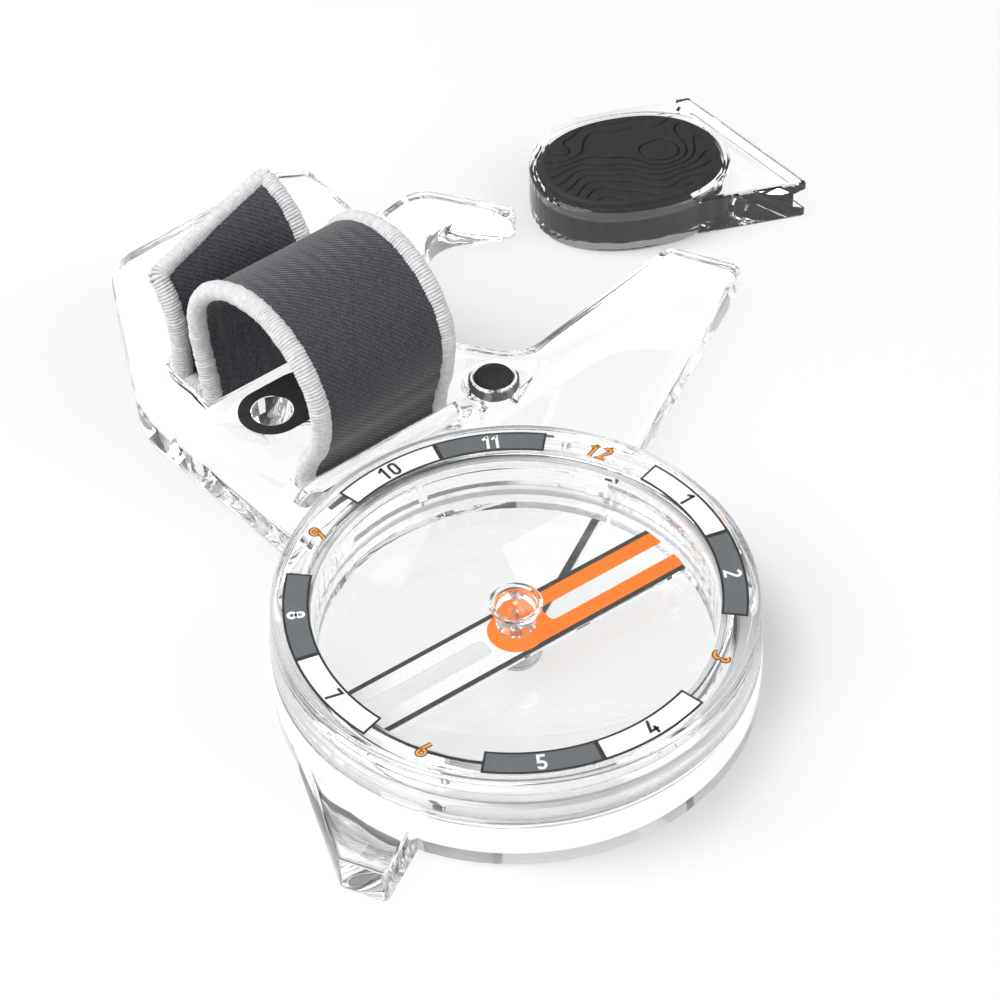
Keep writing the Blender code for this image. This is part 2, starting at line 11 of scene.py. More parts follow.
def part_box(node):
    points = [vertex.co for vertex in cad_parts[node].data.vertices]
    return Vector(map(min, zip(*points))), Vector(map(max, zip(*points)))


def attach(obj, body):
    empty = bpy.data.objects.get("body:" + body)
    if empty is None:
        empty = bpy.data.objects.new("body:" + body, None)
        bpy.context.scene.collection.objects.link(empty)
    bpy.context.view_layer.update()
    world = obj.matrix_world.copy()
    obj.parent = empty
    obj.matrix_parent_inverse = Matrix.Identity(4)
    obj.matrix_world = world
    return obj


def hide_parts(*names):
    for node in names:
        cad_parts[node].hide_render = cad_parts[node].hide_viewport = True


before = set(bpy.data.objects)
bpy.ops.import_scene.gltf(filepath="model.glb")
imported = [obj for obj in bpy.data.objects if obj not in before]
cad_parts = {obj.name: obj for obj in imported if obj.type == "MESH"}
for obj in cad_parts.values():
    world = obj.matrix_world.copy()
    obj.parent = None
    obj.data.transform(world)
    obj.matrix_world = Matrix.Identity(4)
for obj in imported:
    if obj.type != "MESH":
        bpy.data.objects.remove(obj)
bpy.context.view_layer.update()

MM = 0.001


# ------------------------------------------------------------------ sizes, in millimetres

def node_box(node):
    """Lowest and highest corner of a CAD node, in millimetres."""
    low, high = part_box(node)
    return Vector(low) / MM, Vector(high) / MM


RING_HIGH = node_box("hour_ring")[1]
RING_OUTER = RING_HIGH.x
RING_INNER = 21.24
RING_TOP = RING_HIGH.z
COLLAR_LOW, COLLAR_HIGH = node_box("retaining_ring")
COLLAR_INNER = 22.5             # the retaining ring, joined to the plate
POCKET_RADIUS = 24.9
NEEDLE_ANGLE = -30.7            # turn at rest, degrees about +Z from +Y
NEEDLE_REACH = 19.95
NEEDLE_HALF = 3.45
NEEDLE_TOP = node_box("hub_disc")[1].z
STRAP_ANGLE = 62.0              # the strap's width runs at this angle from +X
STRAP_WIDTH = 19.6
STRAP_CORNER = (-46.6, 20.9)    # where its width and its way across are both 0
REST_CENTRE = (-20.6, 76.6)
REST_ANGLE = 37.5
REST_CUP = (2.0, -1.4)          # centre of the pad, in the rest's own directions
PAD_AXES = (11.2, 8.4)
CORE_AXES = (11.75, 8.95)
OVAL_POWER = 0.9                # under 1, a little squarer than an ellipse
STUD = (-18.2, 35.6)
LANYARD_HOLE = (-39.3, 21.6)


# ------------------------------------------------------------------ materials

NOISE_ROUGHNESS = 0.55


class Shader:
    """A material's node tree with short calls for the nodes that repeat."""

    def __init__(self, name):
        self.material = bpy.data.materials.new(name)
        self.material.use_nodes = True
        self.tree = self.material.node_tree
        self.principled = self.tree.nodes["Principled BSDF"]
        self.output = self.tree.nodes["Material Output"]

    def node(self, kind, **values):
        made = self.tree.nodes.new(kind)
        for key, value in values.items():
            setattr(made, key, value)
        return made

    def link(self, source, target):
        self.tree.links.new(source, target)

    def set(self, **values):
        for key, value in values.items():
            socket = self.principled.inputs[key.replace("_", " ")]
            socket.default_value = (*value, 1.0) if isinstance(value, tuple) else value

    def place(self):
        """Object coordinates: the row frame, in metres."""
        return self.node("ShaderNodeTexCoord").outputs["Object"]

    def uv(self):
        return self.node("ShaderNodeTexCoord").outputs["UV"]

    def noise(self, scale, detail=3.0):
        made = self.node("ShaderNodeTexNoise")
        made.inputs["Scale"].default_value = scale
        made.inputs["Detail"].default_value = detail
        made.inputs["Roughness"].default_value = NOISE_ROUGHNESS
        self.link(self.place(), made.inputs["Vector"])
        return made.outputs["Fac"]

    def ramp(self, factor, stops):
        made = self.node("ShaderNodeValToRGB")
        elements = made.color_ramp.elements
        while len(elements) < len(stops):
            elements.new(0.5)
        for element, (position, color) in zip(elements, stops):
            element.position = position
            element.color = (*color, 1.0) if isinstance(color, tuple) else (color, color, color, 1.0)
        self.link(factor, made.inputs["Fac"])
        return made.outputs["Color"]

    def math(self, operation, a, b=None, c=None):
        made = self.node("ShaderNodeMath", operation=operation)
        for socket, value in zip(made.inputs, (a, b, c)):
            if value is None:
                continue
            if isinstance(value, (int, float)):
                socket.default_value = value
            else:
                self.link(value, socket)
        return made.outputs["Value"]

    def bump(self, height, distance, strength=1.0):
        made = self.node("ShaderNodeBump")
        made.inputs["Strength"].default_value = strength
        made.inputs["Distance"].default_value = distance
        self.link(height, made.inputs["Height"])
        return made.outputs["Normal"]

    def color(self, source):
        self.link(source, self.principled.inputs["Base Color"])

    def roughness(self, factor, low, high):
        spread = self.node("ShaderNodeMapRange")
        spread.inputs["From Min"].default_value = 0.3
        spread.inputs["From Max"].default_value = 0.7
        spread.inputs["To Min"].default_value = low
        spread.inputs["To Max"].default_value = high
        self.link(factor, spread.inputs["Value"])
        self.link(spread.outputs["Result"], self.principled.inputs["Roughness"])

    def normal(self, source):
        self.link(source, self.principled.inputs["Normal"])


def clear_acrylic(name, tint=(0.994, 0.997, 0.998), through=0.95, ripple=0.000004):
    """Polished acrylic with faint moulding ripple and handling haze. Lamps shine through it."""
    s = Shader(name)
    s.set(Base_Color=tint, IOR=1.49, Transmission_Weight=1.0)
    s.roughness(s.noise(260.0), 0.0, 0.02)
    if ripple:
        s.normal(s.bump(s.noise(90.0, detail=1.0), ripple))
    shade = s.node("ShaderNodeBsdfTransparent")
    shade.inputs["Color"].default_value = (through, through, through, 1.0)
    path = s.node("ShaderNodeLightPath")
    last = s.principled.outputs["BSDF"]
    for ray in ("Is Shadow Ray", "Is Diffuse Ray"):
        mix = s.node("ShaderNodeMixShader")
        s.link(path.outputs[ray], mix.inputs["Fac"])
        s.link(last, mix.inputs[1])
        s.link(shade.outputs["BSDF"], mix.inputs[2])
        last = mix.outputs["Shader"]
    s.link(last, s.output.inputs["Surface"])
    return s.material


def ink(name, color, worn, rough=0.42):
    """Printed ink with slightly uneven cover and a dry, fine surface."""
    s = Shader(name)
    cover = s.noise(2200.0, detail=4.0)
    s.color(s.ramp(cover, [(0.25, worn), (0.62, color)]))
    s.roughness(s.noise(900.0), rough - 0.08, rough + 0.1)
    s.normal(s.bump(s.noise(5200.0, detail=2.0), 0.00001))
    return s.material


def rubber(name, color, dusty):
    """Matt rubber with patches of a dustier colour."""
    s = Shader(name)
    s.color(s.ramp(s.noise(700.0, detail=5.0), [(0.3, color), (0.75, dusty)]))
    s.roughness(s.noise(1500.0), 0.62, 0.8)
    s.normal(s.bump(s.noise(6000.0, detail=3.0), 0.00003))
    return s.material


def metal(name, color, rough):
    """Turned metal with slightly uneven polish."""
    s = Shader(name)
    s.set(Metallic=1.0)
    s.color(s.ramp(s.noise(1800.0), [(0.3, tuple(0.8 * c for c in color)), (0.7, color)]))
    s.roughness(s.noise(3000.0), rough, rough + 0.12)
    return s.material


RIB_SPACING = 0.62              # of the webbing, in millimetres
YARN_SPACING = 0.44


def webbing(name):
    """Woven elastic: ribs across the strap, yarns along it, pale flecks, and painted shade darkening the
    weave's hollows. UV is in millimetres.
    """
    s = Shader(name)
    split = s.node("ShaderNodeSeparateXYZ")
    s.link(s.uv(), split.inputs["Vector"])
    along, across = split.outputs["X"], split.outputs["Y"]
    rib = s.math("SINE", s.math("MULTIPLY", along, 2 * pi / RIB_SPACING))
    yarn = s.math("SINE", s.math("MULTIPLY", across, 2 * pi / YARN_SPACING))
    step = s.math("SINE", s.math("MULTIPLY", s.math("ADD", along, across), 2 * pi / RIB_SPACING))
    weave = s.math("MULTIPLY_ADD", s.math("MULTIPLY", rib, yarn), 0.5, s.math("MULTIPLY", step, 0.4))
    fuzz = s.noise(5200.0, detail=4.0)
    height = s.math("MULTIPLY_ADD", fuzz, 0.9, weave)
    s.normal(s.bump(height, 0.00007, 0.9))
    # the weave's height darkens its hollows as painted shade, mixed with random mottle
    weave_shade_and_mottle = s.math("MULTIPLY_ADD", weave, 0.22, s.noise(2600.0, detail=5.0))
    s.color(s.ramp(weave_shade_and_mottle, [(0.18, (0.014, 0.014, 0.018)), (0.5, (0.04, 0.041, 0.052)),
                            (0.78, (0.075, 0.076, 0.09)), (0.98, (0.17, 0.17, 0.19))]))
    s.roughness(fuzz, 0.75, 0.95)
    s.set(Sheen_Weight=0.35, Sheen_Roughness=0.45)
    return s.material


def thread(name):
    """Spun stitching thread, light grey with darker patches of painted shade for its hollows, laid by noise.
    """
    s = Shader(name)
    # the darker grey stops are painted shade, placed by noise rather than in the hollows
    s.color(s.ramp(s.noise(1500.0, detail=4.0), [(0.25, (0.6, 0.6, 0.62)), (0.55, (0.76, 0.76, 0.77)),
                                                 (0.8, (0.9, 0.9, 0.9))]))
    s.roughness(s.noise(3000.0), 0.7, 0.9)
    s.normal(s.bump(s.noise(9000.0, detail=3.0), 0.00004))
    s.set(Sheen_Weight=0.25)
    return s.material


def pad_rubber(name):
    """Matt dark rubber; the grooves carry a darker vertex colour, which is painted shade."""
    s = Shader(name)
    groove_shade = s.node("ShaderNodeVertexColor", layer_name="groove")
    body = s.ramp(s.noise(900.0, detail=5.0), [(0.3, (0.016, 0.016, 0.0165)),
                                               (0.75, (0.026, 0.026, 0.0265))])
    mix = s.node("ShaderNodeMix", data_type="RGBA")
    s.link(groove_shade.outputs["Color"], mix.inputs["Factor"])
    s.link(body, mix.inputs["A"])
    # near black: painted shade in the pad's grooves
    mix.inputs["B"].default_value = (0.002, 0.002, 0.002, 1.0)
    s.color(mix.outputs["Result"])
    s.roughness(s.noise(1800.0), 0.6, 0.78)
    s.normal(s.bump(s.noise(7000.0, detail=3.0), 0.00003))
    return s.material


GLOW = 1.2                      # the floor's own light, seen only through clear pieces
GLOW_SHARE = 0.75


def floor_paper(name):
    """White floor that gives off light of its own where it is seen through clear pieces."""
    s = Shader(name)
    s.color(s.ramp(s.noise(3.0, detail=2.0), [(0.3, (0.86, 0.86, 0.86)), (0.7, (0.88, 0.88, 0.88))]))
    s.roughness(s.noise(40.0), 0.7, 0.85)
    s.set(Specular_IOR_Level=0.0)
    glow = s.node("ShaderNodeEmission")
    glow.inputs["Color"].default_value = (1.0, 1.0, 1.0, 1.0)
    glow.inputs["Strength"].default_value = GLOW
    path = s.node("ShaderNodeLightPath")
    mix = s.node("ShaderNodeMixShader")
    s.link(s.math("MULTIPLY", path.outputs["Is Transmission Ray"], GLOW_SHARE), mix.inputs["Fac"])
    s.link(s.principled.outputs["BSDF"], mix.inputs[1])
    s.link(glow.outputs["Emission"], mix.inputs[2])
    s.link(mix.outputs["Shader"], s.output.inputs["Surface"])
    return s.material


CLEAR = clear_acrylic("clear acrylic")
LENS = clear_acrylic("lens acrylic", tint=(0.998, 0.999, 1.0), through=0.99, ripple=0.0)
BLACK_INK = ink("black ink", (0.03, 0.03, 0.031), (0.05, 0.05, 0.052))
GREY_INK = ink("grey ink", (0.128, 0.142, 0.15), (0.15, 0.162, 0.17))
WHITE_INK = ink("white ink", (0.93, 0.93, 0.93), (0.86, 0.86, 0.86))
ORANGE_INK = ink("orange ink", (1.0, 0.225, 0.005), (0.94, 0.2, 0.008))
AMBER_INK = ink("amber ink", (0.94, 0.36, 0.05), (0.86, 0.3, 0.05))
RUBBER = rubber("dark rubber", (0.022, 0.022, 0.023), (0.034, 0.034, 0.035))
STUD_SIDE = rubber("stud side", (0.12, 0.12, 0.12), (0.16, 0.16, 0.16))
CORE_BLACK = rubber("core black", (0.012, 0.012, 0.012), (0.02, 0.02, 0.02))
SEAL = rubber("seal rubber", (0.62, 0.63, 0.64), (0.7, 0.7, 0.71))
DRAG = rubber("drag silicone", (0.78, 0.79, 0.8), (0.84, 0.85, 0.86))
STEEL = metal("pin steel", (0.65, 0.65, 0.66), 0.18)
MAGNET = metal("magnet", (0.82, 0.82, 0.83), 0.14)
JEWEL = ink("jewel", (0.9, 0.88, 0.88), (0.85, 0.8, 0.8), rough=0.15)
POST = ink("post white", (0.9, 0.9, 0.9), (0.82, 0.82, 0.82), rough=0.3)
WEBBING = webbing("woven elastic")
THREAD = thread("edge thread")
PAD = pad_rubber("pad rubber")


# ------------------------------------------------------------------ mesh helpers

def finish_piece(obj, body, replaces=()):
    """Give a piece its body and hide the CAD nodes it stands for."""
    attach(obj, body)
    if replaces:
        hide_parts(*replaces)


def add_object(name, mesh, mat):
    mesh.materials.clear()
    mesh.materials.append(mat)
    obj = bpy.data.objects.new(name, mesh)
    bpy.context.scene.collection.objects.link(obj)
    return obj


def from_bmesh(name, bm, mat, smooth):
    """Object from a bmesh, shaded smooth up to an edge angle in degrees, or flat at 0."""
    mesh = bpy.data.meshes.new(name)
    bm.to_mesh(mesh)
    bm.free()
    if smooth:
        mesh.shade_smooth()
        mesh.set_sharp_from_angle(angle=radians(smooth))
    return add_object(name, mesh, mat)


def sheet_mesh(outlines, bottom, top):
    """Thin closed prisms of flat outlines, in millimetres."""
    bm = bmesh.new()
    for outline in outlines:
        lower = [bm.verts.new((x * MM, y * MM, bottom * MM)) for x, y in outline]
        upper = [bm.verts.new((x * MM, y * MM, top * MM)) for x, y in outline]
        bm.faces.new(list(reversed(lower)))
        bm.faces.new(upper)
        for k in range(len(outline)):
            n = (k + 1) % len(outline)
            bm.faces.new((lower[k], lower[n], upper[n], upper[k]))
    bmesh.ops.recalc_face_normals(bm, faces=bm.faces)
    bmesh.ops.triangulate(bm, faces=[f for f in bm.faces if len(f.verts) > 4])
    return bm


def arc(radius, start, end, steps):
    """Points on a circle between two clock bearings, in degrees from 12 o'clock."""
    points = []
    for k in range(steps + 1):
        a = radians(start + (end - start) * k / steps)
        points.append((radius * sin(a), radius * cos(a)))
    return points


def sector(inner, outer, start, end, steps=24):
    """Outline of a piece of a flat ring between two clock bearings."""
    return arc(outer, start, end, steps) + list(reversed(arc(inner, start, end, steps)))


TURNED_SMOOTH = 35.0


def turned(name, profile, mat, steps):
    """(radius, height) profile turned about +Z. One that stays off the axis is closed into a ring."""
    bm = bmesh.new()
    verts = [bm.verts.new((r * MM, 0, z * MM)) for r, z in profile]
    for a, b in zip(verts, verts[1:]):
        bm.edges.new((a, b))
    if min(r for r, z in profile) > 0:
        bm.edges.new((verts[-1], verts[0]))
    bmesh.ops.spin(bm, geom=bm.verts[:] + bm.edges[:], cent=(0, 0, 0), axis=(0, 0, 1), angle=2 * pi,
                   steps=steps, use_duplicate=False)
    bmesh.ops.remove_doubles(bm, verts=bm.verts, dist=0.000001)
    bmesh.ops.recalc_face_normals(bm, faces=bm.faces)
    return from_bmesh(name, bm, mat, TURNED_SMOOTH)


# ------------------------------------------------------------------ hour ring

OUTLINE = 0.26                  # width of the dark line round a segment
PRINT_LOW = RING_TOP - 0.06
PRINT_TOP = RING_TOP - 0.02
FILL_TOP = RING_TOP - 0.01
SEGMENT_EDGE = 15.2             # a quadrant's segments run from here to 90 less this


def hour_ring():
    """White and grey segments with dark outlines, and the numbers of the hours."""
    white, grey, dark = [], [], []
    edge = OUTLINE / RING_OUTER * 180 / pi
    for quadrant in range(4):
        base = 90.0 * quadrant
        for start, end, fill in ((SEGMENT_EDGE, 45.0, white), (45.0, 90.0 - SEGMENT_EDGE, grey)):
            low, high = base + start, base + end
            dark.append(sector(RING_INNER, RING_OUTER, low, high))
            fill.append(sector(RING_INNER + OUTLINE, RING_OUTER - OUTLINE, low + edge, high - edge))
    pieces = [from_bmesh("ring_outlines", sheet_mesh(dark, PRINT_LOW, PRINT_TOP), BLACK_INK, 0),
              from_bmesh("ring_white_segments", sheet_mesh(white, PRINT_TOP, FILL_TOP), WHITE_INK, 0),
              from_bmesh("ring_grey_segments", sheet_mesh(grey, PRINT_TOP, FILL_TOP), GREY_INK, 0)]
    for hour in range(1, 13):
        pieces += numeral(hour)
    finish_piece(pieces[0], "capsule", ["hour_ring"])
    for piece in pieces[1:]:
        finish_piece(piece, "capsule")


def bow(x, y, wide, tall, start, end, steps=16):
    """Points on an ellipse arc, in degrees from +X."""
    return [(x + wide * cos(radians(start + (end - start) * k / steps)),
             y + tall * sin(radians(start + (end - start) * k / steps))) for k in range(steps + 1)]


def digit_strokes(digit):
    """Middle lines of a digit in a cell 0.56 wide and 1 high, as (points, closed) pairs."""
    left, right, low, high, middle = 0.085, 0.475, 0.085, 0.915, 0.28
    upper = (bow(middle, 0.72, 0.195, 0.195, 0, 344, 20), True)
    lower = (bow(middle, 0.28, 0.195, 0.195, 0, 344, 20), True)
    return {
        0: [(bow(middle, 0.72, 0.195, 0.195, 0, 180) + bow(middle, 0.28, 0.195, 0.195, 180, 360), True)],
        1: [([(0.06, 0.70), (0.34, 0.93)], False), ([(0.34, 1.0), (0.34, 0.0)], False)],
        2: [(bow(middle, 0.72, 0.19, 0.195, 165, -30) + [(left, low), (right + 0.06, low)], False)],
        3: [(bow(0.26, 0.71, 0.17, 0.205, 150, -80), False),
            (bow(0.26, 0.29, 0.20, 0.205, 80, -155), False)],
        4: [([(0.34, 1.0), (0.06, 0.30), (0.56, 0.30)], False), ([(0.41, 0.52), (0.41, 0.0)], False)],
        5: [([(0.47, high), (0.12, high), (0.11, 0.50)] + bow(0.26, 0.30, 0.205, 0.215, 115, -155), False)],
        6: [([(0.37, 1.0), (0.12, 0.42)], False), lower],
        7: [([(0.04, high), (0.47, high), (0.22, 0.0)], False)],
        8: [(bow(middle, 0.71, 0.16, 0.2, 0, 344, 20), True), lower],
        9: [([(0.19, 0.0), (0.44, 0.58)], False), upper],
    }[digit]


MITRE_LIMIT = 0.55              # keeps a stroke's sharp corners from running out to a point


def ribbon(bm, points, closed, half, bottom, top):
    """Flat band of even width along a line, as a thin closed solid."""
    count = len(points)
    rows = []
    for i, (x, y) in enumerate(points):
        before = points[i - 1] if closed or i > 0 else None
        after = points[(i + 1) % count] if closed or i < count - 1 else None
        ways = []
        if before:
            ways.append((Vector((x, y)) - Vector(before)).normalized())
        if after:
            ways.append((Vector(after) - Vector((x, y))).normalized())
        mean = sum(ways, Vector((0, 0))).normalized()
        side = Vector((-mean.y, mean.x))
        spread = half / max(side.dot(Vector((-ways[0].y, ways[0].x))), MITRE_LIMIT)
        a, b = Vector((x, y)) + side * spread, Vector((x, y)) - side * spread
        rows.append([bm.verts.new((p.x * MM, p.y * MM, z * MM)) for p, z in
                     ((a, bottom), (b, bottom), (b, top), (a, top))])
    for i in range(count if closed else count - 1):
        here, there = rows[i], rows[(i + 1) % count]
        for k in range(4):
            n = (k + 1) % 4
            bm.faces.new((here[k], here[n], there[n], there[k]))
    if not closed:
        bm.faces.new(list(reversed(rows[0])))
        bm.faces.new(rows[-1])


DIGIT_HEIGHT = 1.95
DIGIT_STROKE = 0.16             # half of a digit's stroke
DIGIT_WIDTH = 0.56              # in digit heights, like the two steps below
DIGIT_STEP = 0.66               # from one digit to the next
NARROW_STEP = 0.52              # the same in 11
ITALIC_STEP = 0.06              # added between slanted digits
ITALIC = 0.22                   # slant of the orange numbers
ITALIC_OUTLINE = 0.11           # the dark outline is this much wider on each side
DIGIT_LOW = RING_TOP - 0.012
DIGIT_THICK = 0.006
TOP_OUTWARD = (9, 10, 11, 12, 1, 2, 3)


def numeral(hour):
    """Number of an hour, its top outward in the upper half of the ring and inward in the lower."""
    bearing = 30.0 * hour
    turn = radians(-bearing if hour in TOP_OUTWARD else 180.0 - bearing)
    radius = (RING_INNER + RING_OUTER) / 2
    middle = Vector((radius * sin(radians(bearing)), radius * cos(radians(bearing))))
    spin = Matrix.Rotation(turn, 2)
    italic = hour % 3 == 0
    slant = ITALIC if italic else 0.0
    digits = [int(d) for d in str(hour)]
    step = NARROW_STEP
    if digits[0] != digits[-1]:
        step = DIGIT_STEP + (ITALIC_STEP if italic else 0.0)
    wide = step * (len(digits) - 1) + DIGIT_WIDTH

    def place(x, y, index):
        flat = Vector((x + index * step - wide / 2 + slant * (y - 0.5), y - 0.5)) * DIGIT_HEIGHT
        return tuple(spin @ flat + middle)

    if italic:
        layers = [(DIGIT_STROKE + ITALIC_OUTLINE, 0.0, BLACK_INK, "line"),
                  (DIGIT_STROKE - 0.02, DIGIT_THICK, AMBER_INK, "fill")]
    else:
        layers = [(DIGIT_STROKE, 0.0, BLACK_INK if hour % 3 == 1 else WHITE_INK, "fill")]
    made = []
    for half, lift, mat, role in layers:
        bm = bmesh.new()
        for index, digit in enumerate(digits):
            for points, closed in digit_strokes(digit):
                line = [place(x, y, index) for x, y in points]
                ribbon(bm, line, closed, half, DIGIT_LOW + lift, DIGIT_LOW + DIGIT_THICK + lift)
        bmesh.ops.recalc_face_normals(bm, faces=bm.faces)
        made.append(from_bmesh(f"hour_{hour}_{role}", bm, mat, 0))
    return made


# ------------------------------------------------------------------ needle, along +Y and then turned

LINE = 0.55                     # width of the dark line along each side
SLOT = 1.12                     # half width of the clear slot
SLOT_ENDS = {1: 3.85, -1: 3.65}  # where the north and south slots start
SLOT_CORNER = 0.62
CURVE_STEPS = 6
DISC = 3.05                     # printed disc round the hub
DISC_STEPS = 48
BLADE_STEPS = 12
PRINT_THICK = 0.06
SOUTH_DROP = 0.004              # the white print lies this much under the orange one
CAP_TOP = 11.1
CAP_FLANGE = 2.84
CAP_RADIUS = 2.2
CAP_NECK = 1.15
CAP_LIFT = 0.9                  # the cap's wide part starts this much over the disc


def end_height(x):
    """The needle's ends are round the capsule's centre."""
    return sqrt(NEEDLE_REACH * NEEDLE_REACH - x * x)


def needle_print(high):
    """Two stripes that meet in a rounded end of the clear slot; high is 1 for north, -1 for south."""
    outer = NEEDLE_HALF - LINE
    corner_line = SLOT_ENDS[high] + SLOT_CORNER
    ends = [SLOT + (outer - SLOT) * k / CURVE_STEPS for k in range(CURVE_STEPS + 1)]
    outline = [(x, high * end_height(x)) for x in ends]
    outline += [(outer, 0.0), (-outer, 0.0)]
    outline += [(-x, high * end_height(x)) for x in reversed(ends)]
    for middle, start in ((-SLOT + SLOT_CORNER, 180), (SLOT - SLOT_CORNER, 270)):
        for k in range(CURVE_STEPS + 1):
            a = radians(start + 90 * k / CURVE_STEPS)
            outline.append((middle + SLOT_CORNER * cos(a), high * (corner_line + SLOT_CORNER * sin(a))))
    return outline


def needle():
    """Clear blade with its prints, dark edge lines and the disc, and the cap and jewel over them."""
    turn = Matrix.Rotation(radians(NEEDLE_ANGLE), 4, "Z")
    low, high = NEEDLE_TOP - 2 * PRINT_THICK, NEEDLE_TOP - PRINT_THICK
    north = from_bmesh("needle_north_print", sheet_mesh([needle_print(1)], low, high), ORANGE_INK, 0)
    south = from_bmesh("needle_south_print",
                       sheet_mesh([needle_print(-1)], low - SOUTH_DROP, high - SOUTH_DROP), WHITE_INK, 0)
    circle = arc(DISC, 0, 360 - 360 / DISC_STEPS, DISC_STEPS - 1)
    disc = from_bmesh("needle_disc_print", sheet_mesh([circle], high, high + 0.02), ORANGE_INK, 0)
    edges = []
    for side in (-1, 1):
        ends = [(side * x, end_height(x)) for x in (NEEDLE_HALF - LINE, NEEDLE_HALF)]
        ends += [(side * x, -end_height(x)) for x in (NEEDLE_HALF, NEEDLE_HALF - LINE)]
        edges.append(ends)
    lines = from_bmesh("needle_edge_lines", sheet_mesh(edges, low, high + 0.01), BLACK_INK, 0)
    body = []
    for side in (1, -1):
        for k in range(BLADE_STEPS + 1):
            x = side * (-NEEDLE_HALF + 2 * NEEDLE_HALF * k / BLADE_STEPS)
            body.append((x, side * end_height(x)))
    blade = from_bmesh("needle_clear_blade", sheet_mesh([body], low - 0.45, low - 0.02), LENS, 30)
    jobs = ((north, "orange_paint", ["north_stripe_left", "north_stripe_right"]),
            (south, "white_paint", ["south_stripe_left", "south_stripe_right"]),
            (disc, "orange_paint", ["hub_disc"]),
            (lines, "black_ink", ["edge_line_left", "edge_line_right"]),
            (blade, "clear_acrylic", ["needle_blade"]))
    for obj, slot, nodes in jobs:
        obj.data.transform(turn)
        finish_piece(obj, "needle", nodes)
    foot = NEEDLE_TOP + 0.1
    cap = turned("needle_hub_cap", [
        (0, CAP_TOP - 0.15), (2.25, CAP_TOP - 0.15), (2.45, CAP_TOP), (2.7, CAP_TOP),
        (CAP_FLANGE, CAP_TOP - 0.1), (CAP_FLANGE, CAP_TOP - 0.26), (2.7, CAP_TOP - 0.42),
        (2.36, CAP_TOP - 0.6), (CAP_RADIUS, CAP_TOP - 0.8), (CAP_RADIUS - 0.05, foot + CAP_LIFT + 0.15),
        (CAP_RADIUS - 0.15, foot + CAP_LIFT), (CAP_NECK, foot + CAP_LIFT), (CAP_NECK, foot), (0, foot)],
        LENS, 96)
    finish_piece(cap, "needle", ["hub_cap"])
    jewel = turned("needle_jewel", [
        (0, CAP_TOP - 0.12), (0.2, CAP_TOP - 0.12), (0.26, CAP_TOP - 0.14), (0.26, CAP_TOP - 0.145),
        (0, CAP_TOP - 0.145)], JEWEL, 48)
    finish_piece(jewel, "needle", ["jewel_bearing"])


def bezel():
    """Clear grip ring of the capsule with a ledge for the hour ring."""
    low, high = node_box("grip_bezel")
    edge, top, foot = high.x, high.z, low.z
    inner, recess, ledge = 22.4, RING_OUTER + 0.4, 11.9
    piece = turned("clear_bezel", [
        (recess, top - 0.08), (recess + 0.08, top), (edge - 0.4, top), (edge - 0.2, top - 0.05),
        (edge - 0.06, top - 0.18), (edge, top - 0.4), (edge, foot + 0.45), (edge - 0.06, foot + 0.22),
        (edge - 0.2, foot + 0.06), (edge - 0.42, foot), (inner + 0.1, foot), (inner, foot + 0.1),
        (inner, ledge - 0.1), (inner + 0.1, ledge), (recess, ledge)], CLEAR, 160)
    finish_piece(piece, "capsule", ["grip_bezel"])


# ------------------------------------------------------------------ strap

def smooth_path(points, per_span):
    """Smooth curve through the points, with as many steps in every span."""
    path = []
    for i in range(len(points) - 1):
        a = Vector(points[max(i - 1, 0)])
        b = Vector(points[i])
        c = Vector(points[i + 1])
        d = Vector(points[min(i + 2, len(points) - 1)])
        for k in range(per_span):
            t = k / per_span
            path.append(0.5 * ((2 * b) + (c - a) * t + (2 * a - 5 * b + 4 * c - d) * t ** 2
                               + (3 * b - 3 * c + d - a) * t ** 3))
    path.append(Vector(points[-1]))
    return path


STRAP_ROUTE = [(17.2, 1.9), (17.2, 2.9), (17.3, 4.6), (17.35, 6.4), (18.4, 8.9), (20.3, 12.0), (21.2, 15.6),
               (20.6, 19.6), (17.6, 23.3), (13.0, 25.3), (8.4, 25.2), (4.0, 23.6), (0.2, 20.7), (-2.2, 16.9),
               (-2.4, 12.6), (-1.7, 8.6), (-1.1, 5.6), (-0.9, 3.4), (-1.6, 1.85), (-3.4, 1.45), (-5.6, 1.75),
               (-6.7, 3.1), (-6.9, 5.0)]
TAIL_ROUTE = [(-6.9, 5.0), (-6.85, 8.0), (-7.1, 11.0), (-8.0, 13.6), (-9.6, 15.8), (-12.0, 17.3),
              (-16.5, 18.3)]
TAIL_NEAR = 12.0                # length of the free tail on its near and far side
TAIL_FAR = 17.6
TAPER = 0.085                   # the loop narrows across by this share towards the far side
TAPER_START = 7.0               # height where it starts, and the rise to its full share
TAPER_RISE = 6.0
ROUTE_STEPS = 8                 # steps in each span of the route, and below of the tail
TAIL_SPAN_STEPS = 6
TAIL_STEPS = 24
WEB_COLUMNS = 24
WEB_HALF = 0.5                  # half the webbing's thickness
WEB_INSET = 0.9                 # the webbing ends this far inside the strap's edges
EDGE_INSET = 0.75
EDGE_SPACING = 0.1              # between points of the edging's middle line
EDGE_REACH = 6                  # points ahead and behind that give its direction
EDGE_CORE = 0.82
WIND_PITCH = 0.36               # of the thread round the edging
WIND_STEPS = 12
WIND_WIDE = 0.98
WIND_HIGH = 0.9
THREAD_RADIUS = 0.2


def strap_lines():
    """The strap's smooth route and its tail's, as (across, height)."""
    return smooth_path(STRAP_ROUTE, ROUTE_STEPS), smooth_path(TAIL_ROUTE, TAIL_SPAN_STEPS)


def along_path(path, distance):
    """Point at a distance along a line."""
    for a, b in zip(path, path[1:]):
        length = (b - a).length
        if distance <= length:
            return a.lerp(b, distance / length)
        distance -= length
    return path[-1]


